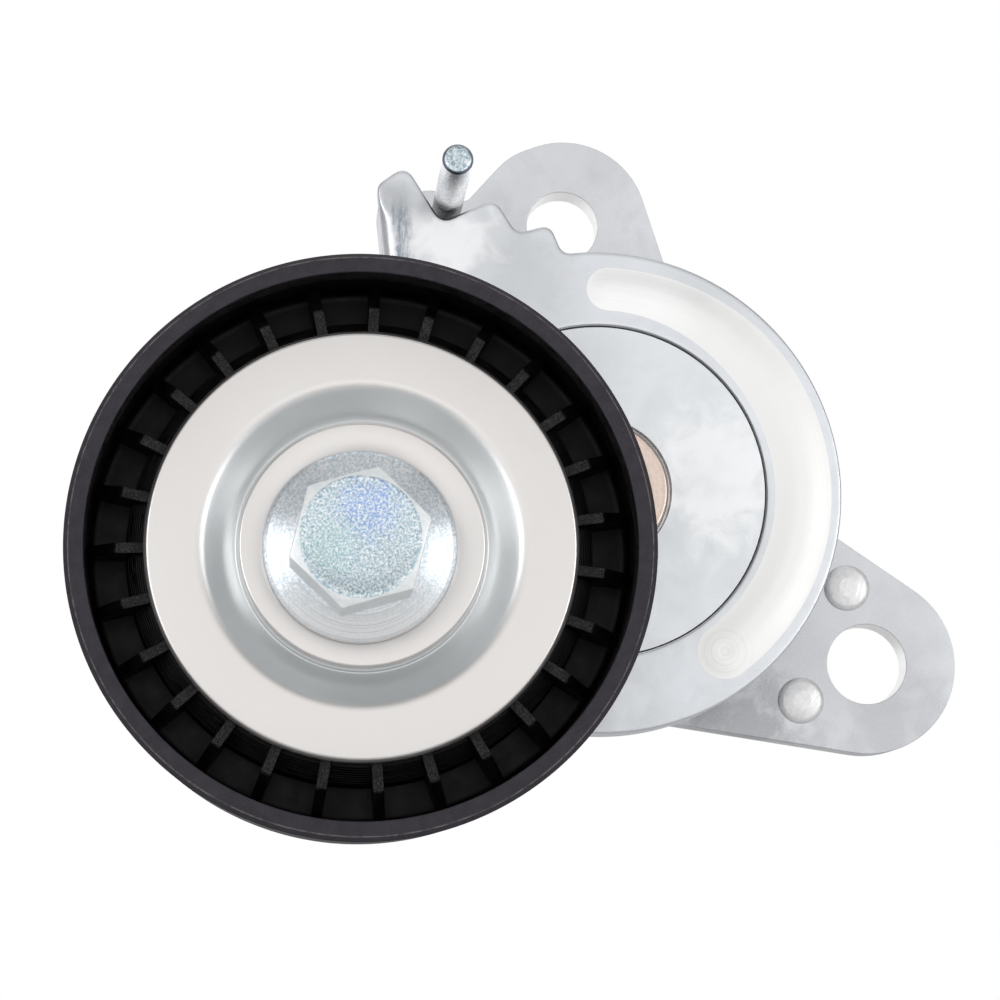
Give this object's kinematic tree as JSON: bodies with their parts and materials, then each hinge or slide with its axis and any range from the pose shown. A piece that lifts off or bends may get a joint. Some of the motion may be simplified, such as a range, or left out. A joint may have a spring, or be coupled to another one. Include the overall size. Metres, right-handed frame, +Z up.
{
  "type": "belt tensioner idler",
  "caption": "Belt tensioner: a sprung arm turning on a flanged steel bracket, carrying a smooth-rimmed ribbed plastic pulley on a ball bearing, held for fitting by a pull-out lock pin.",
  "frame": {"origin": "on the arm's pivot axis, in the plane of the bracket's mounting face", "axes": "+Y is the mounting face's outward normal, along both turning axes, towards the engine; -Y is the front, where the pulley and the bolt head are; +Z is up, towards the upper ear and the lock pin; +X is to the right as seen from the front"},
  "size_m": [0.1114, 0.0616, 0.0938],
  "materials": {
    "plated_steel": "cloudy matt zinc plating",
    "shield_steel": "satin pressed sheet",
    "turned_steel": "turned",
    "bolt_steel": "grainy zinc plating",
    "spring_steel": "black coated wire",
    "bush_bronze": "satin",
    "wear_plastic": "matt",
    "pulley_plastic": "matt moulded, with a fine speckle",
    "bearing_steel": "ground",
    "seal_rubber": "matt"
  },
  "bodies": {
    "base": {"base_bracket": "plated_steel", "pivot_shaft": "turned_steel", "spring_case": "plated_steel", "retaining_plate": "plated_steel", "friction_washer": "wear_plastic", "damping_sleeve": "wear_plastic", "torsion_spring": "spring_steel", "spring_anchor": "plated_steel", "locating_dowels": "turned_steel", "stop_peg": "turned_steel"},
    "arm": {"tension_arm": "plated_steel", "pivot_bush": "bush_bronze", "spring_driver": "plated_steel", "thread_boss": "plated_steel", "pulley_bolt": "bolt_steel", "spacer_sleeve": "turned_steel", "bearing_inner_ring": "bearing_steel", "dust_shield": "shield_steel", "rear_shield": "shield_steel"},
    "pulley": {"pulley_body": "pulley_plastic", "bearing_outer_ring": "bearing_steel", "front_seal": "seal_rubber", "rear_seal": "seal_rubber"},
    "cage": {"ball_cage": "wear_plastic", "bearing_balls": "bearing_steel"},
    "lock_pin": {"lock_pin": "turned_steel"}
  },
  "joints": [
    {"name": "arm_pivot", "type": "hinge", "parent": "base", "child": "arm", "pos_m": [0, 0, 0], "axis": [0, -1, 0], "range_deg": [0, 30], "stiffness_Nm_per_rad": 10, "springref_deg": -20.05, "deforming": ["torsion_spring"]},
    {"name": "pulley_spin", "type": "hinge", "parent": "arm", "child": "pulley", "pos_m": [-0.02975, -0.038, -0.01072], "axis": [0, -1, 0], "continuous": true},
    {"name": "cage_spin", "type": "hinge", "parent": "arm", "child": "cage", "pos_m": [-0.02975, -0.038, -0.01072], "axis": [0, -1, 0], "continuous": true},
    {"name": "pin_pull", "type": "slide", "parent": "base", "child": "lock_pin", "axis": [0, -1, 0], "range_m": [0, 0.045]}
  ],
  "couplings": [
    {"joint": "cage_spin", "follows": "pulley_spin", "ratio": 0.6158}
  ]
}
